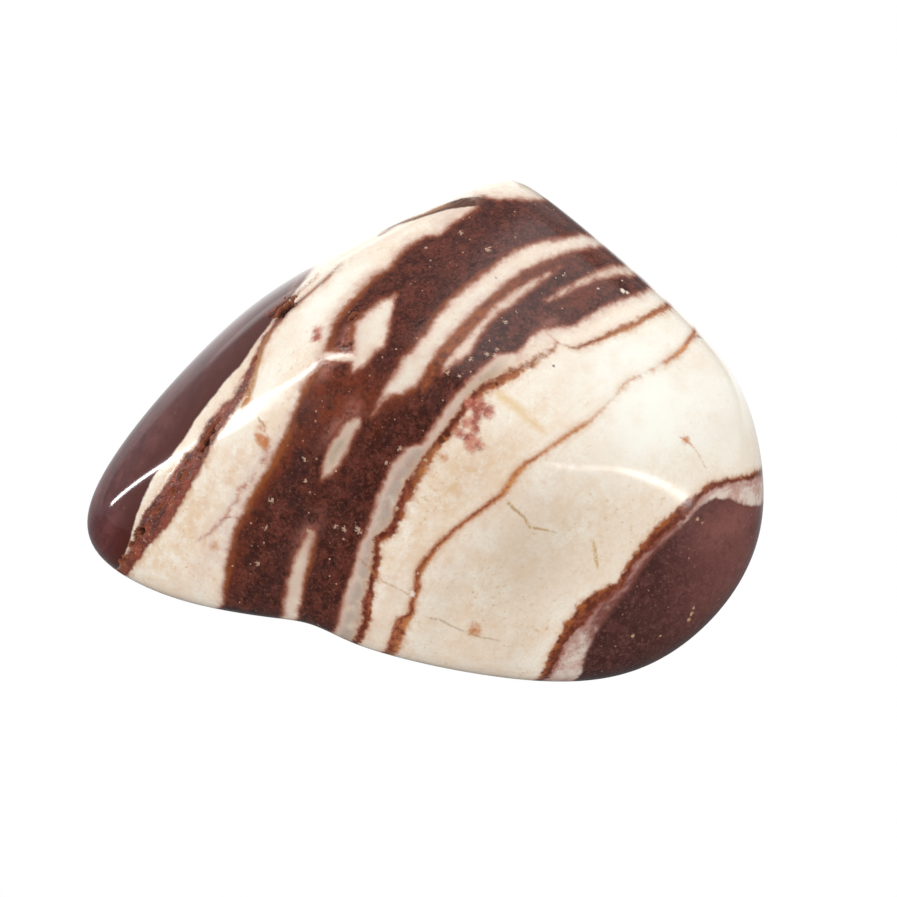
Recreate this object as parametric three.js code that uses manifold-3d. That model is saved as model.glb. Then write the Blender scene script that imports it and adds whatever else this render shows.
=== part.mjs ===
// A tumbled zebra jasper: one banded stone, a broken chip worn round and polished in a tumbling barrel.
// Millimetres, +Z up. The long way of the stone runs along X, with its narrow nose at -X. It rests on its
// flattest side, with that face on z = 0 and the origin under the middle of its box.
// Directions are given as an azimuth from +X towards +Y and an elevation, in degrees, seen from the heart of
// the stone, the point every face, hollow and pit is measured from.
import * as THREE from "three";
import { mergeVertices } from "three/addons/utils/BufferGeometryUtils.js";
import Module from "manifold-3d";

const wasm = await Module();
wasm.setup();

// The broken faces of the chip before it was tumbled. Each one would cut the stone off at its reach from the
// heart. Wear is how far the tumbling has softened the face into its neighbours. Both are in millimetres.
const FACES = [
  { name: "top of the nose flank", azimuth: 146, elevation: 32, reach: 12.8, wear: 0.7 },
  { name: "crest flank", azimuth: 126, elevation: 42, reach: 11.8, wear: 0.5 },
  { name: "upper nose", azimuth: 156, elevation: 12, reach: 16.75, wear: 1 },
  { name: "back of the crest", azimuth: 62, elevation: 44, reach: 17.4, wear: 0.8 },
  { name: "back right shoulder", azimuth: 37, elevation: 35, reach: 14.7, wear: 0.75 },
  { name: "top of the right end", azimuth: 19, elevation: 19.5, reach: 17.5, wear: 0.9 },
  { name: "right end", azimuth: 5, elevation: 6, reach: 18.6, wear: 0.9 },
  { name: "lower right end", azimuth: -16, elevation: -17, reach: 19.7, wear: 1 },
  { name: "right heel", azimuth: -39, elevation: -36, reach: 18.2, wear: 1 },
  { name: "heel", azimuth: -76, elevation: -45, reach: 15.5, wear: 1 },
  { name: "under the nose", azimuth: -107, elevation: -46, reach: 12.4, wear: 0.8 },
  { name: "chin", azimuth: -131, elevation: -40, reach: 15.8, wear: 1 },
  { name: "nose tip", azimuth: -168, elevation: -13, reach: 21.6, wear: 1.2 },
  { name: "front", azimuth: -84, elevation: 21, reach: 11.5, wear: 1.2 },
  { name: "upper right slope", azimuth: -56, elevation: 63, reach: 11.6, wear: 1.2 },
  { name: "crown", azimuth: -144, elevation: 79, reach: 11.8, wear: 1.2 },
  { name: "nose flank", azimuth: -170, elevation: 51, reach: 12, wear: 0.8 },
  { name: "front of the nose", azimuth: -115, elevation: 26, reach: 10.9, wear: 1 },
  { name: "front right end", azimuth: -50, elevation: 22, reach: 15.8, wear: 1.2 },
  { name: "underside", azimuth: 0, elevation: -90, reach: 11.3, wear: 1.6 },
  { name: "back", azimuth: 90, elevation: 6, reach: 13, wear: 1.4 },
  { name: "back of the nose", azimuth: 141, elevation: -12, reach: 15, wear: 1.4 },
  { name: "back right", azimuth: 43, elevation: -9, reach: 16, wear: 1.4 },
  { name: "under the back", azimuth: 82, elevation: -45, reach: 13, wear: 1.4 },
];

// Broad shallow hollows where flakes came away before the tumbling. Depth is in millimetres, and spread is
// the angle over which a hollow fades out, in degrees.
const HOLLOWS = [
  { name: "flake scar under the nose", azimuth: -137, elevation: -33, depth: 0.8, spread: 17 },
  { name: "upper edge of the flake scar", azimuth: -123, elevation: -19, depth: 0.4, spread: 10 },
  { name: "foot of the flake scar", azimuth: -121, elevation: -41, depth: 0.95, spread: 17 },
  { name: "dish in the nose flank", azimuth: 172, elevation: 47, depth: 0.2, spread: 16 },
  { name: "hollow in the back", azimuth: 103, elevation: -8, depth: 0.6, spread: 19 },
  { name: "scar on the back right", azimuth: 58, elevation: 14, depth: 0.5, spread: 12 },
  { name: "scar behind the nose", azimuth: 152, elevation: -22, depth: 0.5, spread: 12 },
  { name: "dimple in the right end", azimuth: 12, elevation: -12, depth: 0.35, spread: 11 },
];

// Open pits the polish never reached. Each runs from one direction to another, [azimuth, elevation], and is
// so wide and so deep in millimetres. Most lie in the brown vein that crosses the nose and goes on round the
// back of the stone.
const PITS = [
  { name: "slit in the vein", from: [-157.7, 15.1], to: [-159.7, 22], width: 0.5, depth: 0.6 },
  { name: "pit at the nose", from: [-158.3, -5.1], to: [-157.9, -2.3], width: 0.5, depth: 0.6 },
  { name: "pinhole at the nose", from: [-158.9, -7], to: [-158.3, -5.5], width: 0.3, depth: 0.35 },
  { name: "first scratch in the vein", from: [-158.3, -0.2], to: [-157.4, 2.6], width: 0.3, depth: 0.3 },
  { name: "second scratch in the vein", from: [-157.8, 4], to: [-157.2, 6.2], width: 0.34, depth: 0.3 },
  { name: "pit under the nose", from: [-159.9, -11.6], to: [-158.7, -8.9], width: 0.4, depth: 0.35 },
  { name: "hole in the nose flank", from: [173.8, 42.9], to: [167.6, 49.4], width: 0.7, depth: 0.8 },
  { name: "hole by the cream lens", from: [-155, 65.5], to: [-159.4, 68.6], width: 0.5, depth: 0.5 },
  { name: "narrow pit in the flank", from: [-168.5, 35.1], to: [-172.3, 38.2], width: 0.3, depth: 0.3 },
  { name: "slit behind the nose", from: [162, -11], to: [156, -7], width: 0.5, depth: 0.6 },
  { name: "pit behind the nose", from: [146, -1], to: [142.6, 1.2], width: 0.4, depth: 0.4 },
  { name: "pit in the back", from: [129, 10], to: [126.4, 14], width: 0.45, depth: 0.5 },
  { name: "slit behind the crest", from: [124.4, 33], to: [123.2, 39], width: 0.4, depth: 0.45 },
  { name: "pit at the back right", from: [50, -21], to: [52.6, -18.6], width: 0.4, depth: 0.4 },
  { name: "pinhole in the back", from: [80, 3], to: [81.6, 4.6], width: 0.3, depth: 0.3 },
];

const SEAT_DEPTH = 0.4; // how much the resting face is worn flat
const SKIN_DETAIL = 16; // cuts along each edge of the icosahedron the skin grows from
const PIT_DETAIL = 2;
const PIT_RAGGEDNESS = 0.16; // how far a pit's wall strays from a smooth oval, as a share of its size
const FURTHEST = 40; // a radius outside every face, where the search for the skin starts
const SEARCH_STEPS = 30;

function direction(azimuth, elevation) {
  const around = THREE.MathUtils.degToRad(azimuth);
  const up = THREE.MathUtils.degToRad(elevation);
  return new THREE.Vector3(
    Math.cos(up) * Math.cos(around),
    Math.cos(up) * Math.sin(around),
    Math.sin(up),
  );
}

const faces = FACES.map((face) => ({ ...face, normal: direction(face.azimuth, face.elevation) }));

const hollows = HOLLOWS.map((hollow) => ({
  normal: direction(hollow.azimuth, hollow.elevation),
  depth: hollow.depth,
  spread: THREE.MathUtils.degToRad(hollow.spread),
}));

// How hard each face presses at a point, and how much of a share of the pressing is its own.
function press(point) {
  const pasts = faces.map((face) => (point.dot(face.normal) - face.reach) / face.wear);
  const most = Math.max(...pasts);
  const pushes = pasts.map((past) => Math.exp(past - most));
  const total = pushes.reduce((sum, push) => sum + push, 0);
  return { level: most + Math.log(total), shares: pushes.map((push) => push / total) };
}

// How far the skin lies from the heart, where the pressing of all the faces adds up to one. Newton's method
// walks in to it from outside.
function faceRadius(towards) {
  let radius = FURTHEST;
  for (let step = 0; step < SEARCH_STEPS; step++) {
    const { level, shares } = press(towards.clone().multiplyScalar(radius));
    const slopes = faces.map((face, i) => (shares[i] * face.normal.dot(towards)) / face.wear);
    radius -= level / slopes.reduce((sum, slope) => sum + slope, 0);
  }
  return radius;
}

function hollowDepth(towards) {
  const depths = hollows.map((h) => h.depth * Math.exp(-((h.normal.angleTo(towards) / h.spread) ** 2)));
  return depths.reduce((sum, depth) => sum + depth, 0);
}

function skinPoint(towards) {
  return towards.clone().multiplyScalar(faceRadius(towards) - hollowDepth(towards));
}

// The way the skin faces at a point, from the faces that press there.
function skinNormal(point) {
  const { shares } = press(point);
  const normal = new THREE.Vector3();
  faces.forEach((face, i) => normal.addScaledVector(face.normal, shares[i] / face.wear));
  return normal.normalize();
}

function roundBall(detail) {
  const geometry = new THREE.IcosahedronGeometry(1, detail);
  geometry.deleteAttribute("normal");
  geometry.deleteAttribute("uv");
  return mergeVertices(geometry);
}

// A copy of the ball with every point moved to where the rule sends its direction.
function reshape(ball, rule) {
  const points = ball.getAttribute("position");
  const towards = new THREE.Vector3();
  for (let i = 0; i < points.count; i++) {
    towards.fromBufferAttribute(points, i).normalize();
    const moved = rule(towards);
    points.setXYZ(i, moved.x, moved.y, moved.z);
  }
  return ball;
}

// Small swells and dips that make a pit ragged. The pit's place in the list shifts them.
function ragged(towards, shift) {
  const longWave = Math.sin(5 * towards.x + 3 * towards.y + shift);
  const shortWave = Math.sin(6 * towards.z - 4 * towards.y + 2 * shift);
  return 1 + (PIT_RAGGEDNESS * (longWave + shortWave)) / 2;
}

// The ragged oval that a pit takes out of the stone, centred on the skin with its long way along the pit.
function pitTool(pit, place) {
  const start = skinPoint(direction(...pit.from));
  const end = skinPoint(direction(...pit.to));
  const middle = skinPoint(start.clone().add(end).normalize());
  const outwards = skinNormal(middle);
  const along = end.clone().sub(start).projectOnPlane(outwards).normalize();
  const across = outwards.clone().cross(along);
  const length = start.distanceTo(end);
  const frame = new THREE.Matrix4().makeBasis(
    along.multiplyScalar(length / 2),
    across.multiplyScalar(pit.width / 2),
    outwards.multiplyScalar(pit.depth),
  );
  frame.setPosition(middle);
  const rule = (towards) => towards.clone().multiplyScalar(ragged(towards, place));
  return reshape(roundBall(PIT_DETAIL), rule).applyMatrix4(frame);
}

// A block whose top face trims the underside to a small true flat.
function seatTool() {
  const underside = FACES.find((face) => face.name === "underside");
  const block = new THREE.BoxGeometry(FURTHEST * 2, FURTHEST * 2, FURTHEST);
  block.deleteAttribute("normal");
  block.deleteAttribute("uv");
  return mergeVertices(block).translate(0, 0, SEAT_DEPTH - underside.reach - FURTHEST / 2);
}

function toSolid(geometry) {
  const vertProperties = new Float32Array(geometry.getAttribute("position").array);
  const triVerts = new Uint32Array(geometry.getIndex().array);
  return new wasm.Manifold(new wasm.Mesh({ numProp: 3, vertProperties, triVerts }));
}

function toGeometry(solid) {
  const mesh = solid.getMesh();
  const positions = new Float32Array(mesh.vertProperties);
  const geometry = new THREE.BufferGeometry();
  geometry.setAttribute("position", new THREE.BufferAttribute(positions, mesh.numProp));
  geometry.setIndex(new THREE.BufferAttribute(new Uint32Array(mesh.triVerts), 1));
  return geometry;
}

function carvedStone() {
  const whole = toSolid(reshape(roundBall(SKIN_DETAIL), skinPoint));
  const tools = [seatTool(), ...PITS.map(pitTool)];
  return toGeometry(tools.reduce((stone, tool) => stone.subtract(toSolid(tool)), whole));
}

// Sets the stone down on z = 0 with the middle of its box over the origin.
function settle(geometry) {
  geometry.computeBoundingBox();
  const middle = geometry.boundingBox.getCenter(new THREE.Vector3());
  geometry.translate(-middle.x, -middle.y, -geometry.boundingBox.min.z);
  return geometry;
}

const jasper = new THREE.MeshStandardMaterial({ color: 0xd9c5ab, roughness: 0.18, metalness: 0 });
const stone = new THREE.Mesh(settle(carvedStone()), jasper);
stone.name = "jasper_stone";
stone.geometry.computeVertexNormals();

const group = new THREE.Group();
group.name = "tumbled_zebra_jasper";
group.add(stone);
export default group;
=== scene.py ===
import functools
import math
import bmesh
import bpy
import numpy as np
from mathutils import Euler, Matrix, Vector, noise


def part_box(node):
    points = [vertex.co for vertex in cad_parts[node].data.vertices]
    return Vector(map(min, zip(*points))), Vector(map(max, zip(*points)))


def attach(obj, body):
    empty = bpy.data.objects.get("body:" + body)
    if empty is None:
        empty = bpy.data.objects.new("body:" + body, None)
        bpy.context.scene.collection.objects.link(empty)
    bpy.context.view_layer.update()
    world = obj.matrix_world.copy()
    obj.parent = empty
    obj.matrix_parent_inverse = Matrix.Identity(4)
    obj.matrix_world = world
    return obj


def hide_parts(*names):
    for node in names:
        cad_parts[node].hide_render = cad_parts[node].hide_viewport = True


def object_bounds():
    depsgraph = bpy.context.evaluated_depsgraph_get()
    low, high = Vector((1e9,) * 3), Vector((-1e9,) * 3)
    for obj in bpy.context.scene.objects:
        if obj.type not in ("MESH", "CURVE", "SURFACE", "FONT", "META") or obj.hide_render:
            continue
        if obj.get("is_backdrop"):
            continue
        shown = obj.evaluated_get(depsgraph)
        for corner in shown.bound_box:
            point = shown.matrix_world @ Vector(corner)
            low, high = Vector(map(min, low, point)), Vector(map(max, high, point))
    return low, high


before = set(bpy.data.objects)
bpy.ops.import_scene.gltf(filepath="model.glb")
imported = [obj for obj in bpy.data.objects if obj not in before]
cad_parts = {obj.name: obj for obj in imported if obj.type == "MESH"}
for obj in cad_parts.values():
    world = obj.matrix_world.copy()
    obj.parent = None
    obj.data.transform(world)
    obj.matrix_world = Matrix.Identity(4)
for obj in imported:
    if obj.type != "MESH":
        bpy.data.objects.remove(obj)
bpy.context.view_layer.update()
mm = 0.001

# The stone's shape, in millimetres and degrees, from its heart. Every face of the old chip has the way it
# looks (azimuth, elevation), how far out it lies and how softly the barrel wore it into the next one.
stone = {
    "node": "jasper_stone",
    "ballCuts": 7,
    "furthest": 40.0, "walkSteps": 25,  # the walk in to the skin starts outside every face
    "faces": {
        "top of the nose flank": (146, 32, 12.8, 0.7),
        "crest flank": (126, 42, 11.8, 0.5),
        "upper nose": (156, 12, 16.75, 1),
        "back of the crest": (62, 44, 17.4, 0.8),
        "back right shoulder": (37, 35, 14.7, 0.75),
        "top of the right end": (19, 19.5, 17.5, 0.9),
        "right end": (5, 6, 18.6, 0.9),
        "lower right end": (-16, -17, 19.7, 1),
        "right heel": (-39, -36, 18.2, 1),
        "heel": (-76, -45, 15.5, 1),
        "under the nose": (-107, -46, 12.4, 0.8),
        "chin": (-131, -40, 15.8, 1),
        "nose tip": (-168, -13, 21.6, 1.2),
        "front": (-84, 21, 11.5, 1.2),
        "upper right slope": (-56, 63, 11.6, 1.2),
        "crown": (-144, 79, 11.8, 1.2),
        "nose flank": (-170, 51, 12, 0.8),
        "front of the nose": (-115, 26, 10.9, 1),
        "front right end": (-50, 22, 15.8, 1.2),
        "underside": (0, -90, 11.3, 1.6),
        "back": (90, 6, 13, 1.4),
        "back of the nose": (141, -12, 15, 1.4),
        "back right": (43, -9, 16, 1.4),
        "under the back": (82, -45, 13, 1.4),
    },
    "seatDepth": 0.4,
    # where it looks, how deep, over how many degrees it fades out
    "hollows": {
        "flake scar under the nose": (-137, -33, 0.8, 17),
        "upper edge of the flake scar": (-123, -19, 0.4, 10),
        "foot of the flake scar": (-121, -41, 0.95, 17),
        "dish in the nose flank": (172, 47, 0.2, 16),
        "hollow in the back": (103, -8, 0.6, 19),
        "scar on the back right": (58, 14, 0.5, 12),
        "scar behind the nose": (152, -22, 0.5, 12),
        "dimple in the right end": (12, -12, 0.35, 11),
    },
    # open pits: start, end, width, depth
    "pits": {
        "slit in the vein": ((-157.5, 14.2), (-160.1, 21.2), 0.5, 0.6),
        "pit at the nose": ((-158.3, -5.1), (-157.9, -2.3), 0.5, 0.6),
        "pinhole at the nose": ((-158.9, -7), (-158.3, -5.5), 0.3, 0.35),
        "first scratch in the vein": ((-158.3, -0.2), (-157.4, 2.6), 0.3, 0.3),
        "second scratch in the vein": ((-157.8, 4), (-157.2, 6.2), 0.34, 0.3),
        "pit under the nose": ((-159.9, -11.6), (-158.7, -8.9), 0.4, 0.35),
        "hole in the nose flank": ((174.4, 43.6), (168.4, 49.8), 1.1, 0.8),
        "hole by the cream lens": ((-155, 65.5), (-159.4, 68.6), 0.5, 0.5),
        "narrow pit in the flank": ((-168.5, 35.1), (-172.3, 38.2), 0.3, 0.3),
        "slit behind the nose": ((162, -11), (156, -7), 0.5, 0.6),
        "pit behind the nose": ((146, -1), (142.6, 1.2), 0.4, 0.4),
        "pit in the back": ((129, 10), (126.4, 14), 0.45, 0.5),
        "slit behind the crest": ((124.4, 33), (123.2, 39), 0.4, 0.45),
        "pit at the back right": ((50, -21), (52.6, -18.6), 0.4, 0.4),
        "pinhole in the back": ((80, 3), (81.6, 4.6), 0.3, 0.3),
        "crack above the slit": ((-160.1, 21), (-160.5, 24), 0.22, 0.3),
        "third scratch in the vein": ((-157.5, 8.3), (-157.9, 10.6), 0.26, 0.22),
        "fourth scratch in the vein": ((-158.9, 11.4), (-158.6, 13), 0.2, 0.2),
    },
    # the mesh is cut finer twice round each pit: so many half sizes out, and a margin along and across it
    "pitRings": (1.6, 1.2), "ringMargins": (0.25, 0.35),
    # how far a ragged pit can spread, in half sizes along and across, and how deep below its middle
    "pitReach": (1.8, 1.9), "pitInmost": -1.5,
    # rims that stray in long and short swells, rough floors, and the deepest a floor goes for its depth
    "pitRaggedness": 0.36, "rimSwells": (0.35, 0.15),
    "floorRoughness": 0.35, "floorSwell": 0.12, "floorDeepest": 1.2,
    "seatMargin": 0.05,  # this far above the flat, the skin keeps its own slope
    "sideways": (0.36, 0.48, 0.8), "sideStep": 0.003,  # the short steps that measure that slope
}
noiseShift = (7.3, 3.1, 5.7)  # how far each seed moves the noise along x, y and z


def direction(azimuth, elevation):
    around, up = math.radians(azimuth), math.radians(elevation)
    return np.array([math.cos(up) * math.cos(around), math.cos(up) * math.sin(around), math.sin(up)])


def unit(vectors):
    return vectors / np.linalg.norm(vectors, axis=1, keepdims=True)


faceNormals = np.array([direction(f[0], f[1]) for f in stone["faces"].values()])
faceReach = np.array([f[2] for f in stone["faces"].values()], float)
faceWear = np.array([f[3] for f in stone["faces"].values()], float)


def press(points):  # how hard all the faces press at each point, and each face's share of it
    pasts = (points @ faceNormals.T - faceReach) / faceWear
    strongest = pasts.max(1, keepdims=True)
    pushes = np.exp(pasts - strongest)
    total = pushes.sum(1, keepdims=True)
    return (strongest + np.log(total))[:, 0], pushes / total


def skinPoints(towards):  # Newton's walk in from outside, then the hollows
    radius = np.full(len(towards), stone["furthest"])
    slopes = towards @ faceNormals.T / faceWear
    for step in range(stone["walkSteps"]):
        level, shares = press(towards * radius[:, None])
        radius -= level / (shares * slopes).sum(1)
    for azimuth, elevation, depth, spread in stone["hollows"].values():
        angle = np.degrees(np.arccos(np.clip(towards @ direction(azimuth, elevation), -1, 1)))
        radius -= depth * np.exp(-((angle / spread) ** 2))
    return towards * radius[:, None]


def skinNormals(points):
    shares = press(points)[1]
    return unit((shares / faceWear) @ faceNormals)


def slopeNormals(towards):  # the skin's own slope, hollows and all, from two short steps to the side
    here = skinPoints(towards)
    aside = unit(np.cross(towards, stone["sideways"]))
    steps = []
    for way in (aside, np.cross(towards, aside)):
        steps.append(skinPoints(unit(towards + way * stone["sideStep"])) - here)
    return unit(np.cross(steps[0], steps[1]))


def pitFrames():  # middle, along, across, outwards, half length, half width and depth of each pit
    found = []
    for start, end, width, depth in stone["pits"].values():
        ends = skinPoints(np.array([direction(*start), direction(*end)]))
        towards = ends.sum(0) / np.linalg.norm(ends.sum(0))
        middle = skinPoints(towards[None])
        outwards = skinNormals(middle)[0]
        along = ends[1] - ends[0]
        length = np.linalg.norm(along)
        along = along - outwards * (along @ outwards)
        along /= np.linalg.norm(along)
        across = np.cross(outwards, along)
        found.append((middle[0], along, across, outwards, length / 2, width / 2, depth))
    return found


def ballDirections(ball):
    return unit(np.array([v.co for v in ball.verts]))


def fineBall(pits):  # a round ball of triangles, finer round every pit
    ball = bmesh.new()
    bmesh.ops.create_icosphere(ball, subdivisions=stone["ballCuts"], radius=1)
    marginAlong, marginAcross = stone["ringMargins"]
    for reach in stone["pitRings"]:
        ball.verts.ensure_lookup_table()
        towards = ballDirections(ball)
        near = np.zeros(len(towards), bool)
        for middle, along, across, outwards, halfLength, halfWidth, depth in pits:
            away = towards * np.linalg.norm(middle) - middle
            besideLong = np.abs(away @ along) < halfLength * reach + marginAlong
            besideWide = np.abs(away @ across) < halfWidth * reach + marginAcross
            near |= besideLong & besideWide & (towards @ middle > 0)
        edges = [e for e in ball.edges if near[e.verts[0].index] and near[e.verts[1].index]]
        bmesh.ops.subdivide_edges(ball, edges=edges, cuts=1)
        many = [f for f in ball.faces if len(f.verts) > 3]
        bmesh.ops.triangulate(ball, faces=many)
    return ball


def fieldOf(points, size, seed):  # soft noise from -1 to 1 with swells of that size in millimetres
    shift = Vector(seed * step for step in noiseShift)
    return np.array([noise.noise(Vector(p) / size + shift) for p in points])


pits = pitFrames()
ball = fineBall(pits)
towards = ballDirections(ball)
points = skinPoints(towards)
normals = skinNormals(points)
print("skin points:", len(points))


def pitDepths(points):  # a ragged rim and a rough floor for each pit; each has noises of its own
    deepest = np.zeros(len(points))
    reachAlong, reachAcross = stone["pitReach"]
    longSwell, shortSwell = stone["rimSwells"]
    for place, (middle, along, across, outwards, halfLength, halfWidth, depth) in enumerate(pits):
        away = points - middle
        u, v = away @ along / halfLength, away @ across / halfWidth
        inReach = (np.abs(u) < reachAlong) & (np.abs(v) < reachAcross)
        near = np.nonzero(inReach & (away @ outwards > stone["pitInmost"]))[0]
        ring = np.hypot(u[near], v[near])
        ring += stone["pitRaggedness"] * 2 * fieldOf(points[near], longSwell, place)
        ring += stone["pitRaggedness"] * fieldOf(points[near], shortSwell, place + 20)
        rough = 1 + stone["floorRoughness"] * fieldOf(points[near], stone["floorSwell"], place + 40)
        floor = np.clip(1 - ring, 0, 1) ** 0.5 * rough
        deepest[near] = np.maximum(deepest[near], depth * np.clip(floor, 0, stone["floorDeepest"]))
    return deepest


pitDepth = pitDepths(points)
points = points - normals * pitDepth[:, None]  # pushed in along the skin's own normal
seatLevel = stone["seatDepth"] - stone["faces"]["underside"][2]
points[:, 2] = np.maximum(points[:, 2], seatLevel)

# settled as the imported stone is: its box over the origin, its foot on the ground, its size the same
low, high = points.min(0), points.max(0)
nodeLow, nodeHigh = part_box(stone["node"])
scale = (np.array(nodeHigh) - np.array(nodeLow)) / (high - low)
heart = np.array(nodeLow) - low * scale
places = points * scale + heart
print("settled, scale to the packed box:", (scale / mm).round(4), "heart:", (heart / mm).round(3))

# How the stone is banded. Bands are bent sheets round an axis. Each point of the skin has a radius and an
# angle about it, in millimetres and degrees, and a depth in from the front.
banding = {
    "lookUp": 42, "axis": (19.65, -17.96), "lean": (0.20, -0.10),
    "flowRadius": 27,  # where the streaks that run along the bands have their true length
    "washFade": (0, 4),  # the depths over which the colours of the front fade out
    # band edges: angle, radius
    "rightCap": [(158, 13.6), (156, 13.7), (152, 14.2), (149, 14.4), (145, 14.6), (140, 14.8), (135, 14.85),
        (129, 15.35), (124, 15.7), (118, 16), (115, 16.25), (112.5, 16.55), (110, 16.5), (107, 16.15),
        (104.5, 15.6), (102, 15.2), (98.5, 14.95)],
    "zebraRight": [(162, 27.35), (160, 27.6), (157.5, 27.8), (155, 28.05), (152, 28.5), (150.5, 28.5),
        (148.3, 28.8), (146.2, 29.2), (144, 29.5), (142, 29.6), (141.2, 29.6), (139.6, 29.15), (138, 29.3),
        (136.8, 29.4), (134.4, 29.6), (127.4, 29.6), (125.3, 28.9), (123.8, 29.1), (122, 29.2),
        (120.6, 28.85), (118.2, 28.3), (113.7, 28.35), (108.4, 28.1)],
    "zebraLeft": [(164, 33.15), (161.3, 33.7), (159.4, 34), (156.5, 34.35), (152.4, 34.5), (149.3, 34.6),
        (147.3, 34.8), (145.4, 35.05), (143.6, 35.4), (141.8, 35.7), (139, 35.85), (138, 36.1),
        (136.4, 36.4), (134, 36.55), (131.6, 36.55), (129.6, 36.34), (128.2, 36.44), (127, 36.5),
        (126, 36.38), (125.1, 36.2), (124.4, 35.98), (122, 35.96), (120, 35.95), (119, 36.3), (117.7, 35.7),
        (114, 34.5), (108, 33.6)],
    "leftCap": [(163.4, 38.95), (161.3, 39.02), (159.2, 39.22), (157.4, 39.33), (155.7, 39.35),
        (154.7, 39.26), (153.6, 39.05), (151.6, 38.87), (149.7, 38.85), (147.7, 38.7), (145.7, 38.6),
        (144.1, 38.43), (142.5, 38.45), (138.4, 38.49), (136.3, 38.55), (134.6, 38.58)],
    # the depths where the lenses open and close; the last three lie in the hidden half
    "lensDepths": {
        "creamLens": (-20, 2), "notch": (-20, 2), "lowerLens": (-20, 1), "bottomStripe": (-20, 6),
        "creamStripe": (-20, 8), "lilacLens": (-20, 1), "lilacStripe": (-20, 7),
        "backLens": (3, 20), "backStripe": (4, 20), "backSliver": (2, 20),
    },
    "lensOpening": 2, "lensClosing": 4, "lensShut": 1.6,  # and over how far, and how firmly they stay shut
    # in the hidden half the bands wander off their front course
    "warp": {"starts": 0.5, "full": 6, "radius": 1.7, "angle": 3.2, "swell": 8.5, "seeds": (61, 62)},
    # grey ground between the jagged vein and the dark bands
    "greyEdge": (-0.3, 0.35), "greyAngles": (120, 138),
    # how dark the strip behind the serrated vein is: angle, share
    "capStrip": [(106, 0), (110, 0.05), (113, 0.25), (117, 0.5), (121, 1), (137, 1), (143, 0.75),
        (149, 0.35), (158, 0.12)],
    # veins and cracks of only the hidden half or the front, and the depths over which they come or go
    "hiddenOnly": ("backVein", "backCrack"),
    "frontOnly": ("ochreCrack", "orangeCrack", "leftHair", "bottomHair", "pinkHair", "yellowStreak",
                  "forkHair", "roseSeam", "flankHair", "outerHair", "ochreEdge", "greenTick", "ochreTick"),
    "hiddenFade": (0, 3), "frontFade": (-1, 2), "crestFade": (-3.3, -2.6),
}

# pale shapes in the dark zebra band: angle, inner and outer radius
lenses = {
    "creamLens": [(131, 35.2, 35.2), (132.1, 34.78, 35.45), (133.3, 34.4, 35.55), (134.1, 34.14, 35.65),
        (135.2, 33.83, 35.7), (136.2, 34.1, 35.4), (137.2, 34, 34.95), (138.1, 34.07, 34.65),
        (138.9, 34.24, 34.24)],
    "lowerLens": [(141.6, 32.45, 32.5), (142, 32.2, 32.7), (143.2, 32.05, 32.83), (144.8, 31.85, 32.72),
        (146.3, 31.65, 32.58), (147.5, 31.7, 32.27), (148.5, 31.96, 31.96)],
    "bottomStripe": [(153, 30.8, 30.8), (153.6, 30.6, 30.98), (154.4, 30.52, 31), (155.5, 30.38, 31),
        (156.6, 30.22, 30.95), (158.7, 29.93, 30.74), (160.8, 29.62, 30.46), (162.3, 29.36, 30.22),
        (163.4, 29.12, 30.02), (168, 28.3, 29.3)],
    "notch": [(137.2, 34.6, 34.9), (137.8, 34.42, 35.05), (138.4, 34.75, 35.55), (139, 35.25, 36.05),
        (139.5, 35.7, 36.25), (139.9, 36.1, 36.35)],
    "creamStripe": [(140.8, 32.08, 32.08), (139.3, 32.1, 32.3), (138, 31.95, 32.55), (137, 31.6, 32.6),
        (136, 31.45, 32.7), (134.8, 31.45, 32.8), (133.5, 31.62, 32.8), (131.6, 31.8, 32.85),
        (129, 31.85, 33.1), (127, 31.93, 33.15), (122, 32.05, 33.08), (119.6, 32.05, 33.17),
        (117.6, 31.9, 33), (115.6, 31.8, 32.65), (112.2, 31.3, 32.1), (110.8, 31, 31.6), (100, 29.6, 30.2)],
    "lilacLens": [(133.3, 30.92, 30.92), (131.7, 30.75, 31.2), (129.4, 30.57, 31.28), (127.2, 30.92, 31.35),
        (124.6, 31.06, 31.57), (122.6, 31.02, 31.55), (120.3, 31.07, 31.45), (118, 31.12, 31.33),
        (116.3, 31.23, 31.23)],
    "lilacStripe": [(119.7, 30.15, 30.22), (118, 29.92, 30.19), (115.5, 29.87, 30.14), (113.3, 29.72, 30.15),
        (110.8, 29.4, 29.95), (109, 29, 29.6), (103, 28.4, 29)],
    "backLens": [(150, 31.5, 31.5), (146, 30.7, 32.2), (140, 30.3, 32.6), (135, 30.7, 32.1),
        (131, 31.2, 31.2)],
    "backStripe": [(128, 33.6, 33.6), (122, 33.2, 34), (112, 32.6, 33.6), (100, 31, 32.2)],
    "backSliver": [(161, 32.5, 32.5), (152, 32.4, 33.1), (146, 33, 33.5), (142, 33.4, 33.4)],
}

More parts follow.
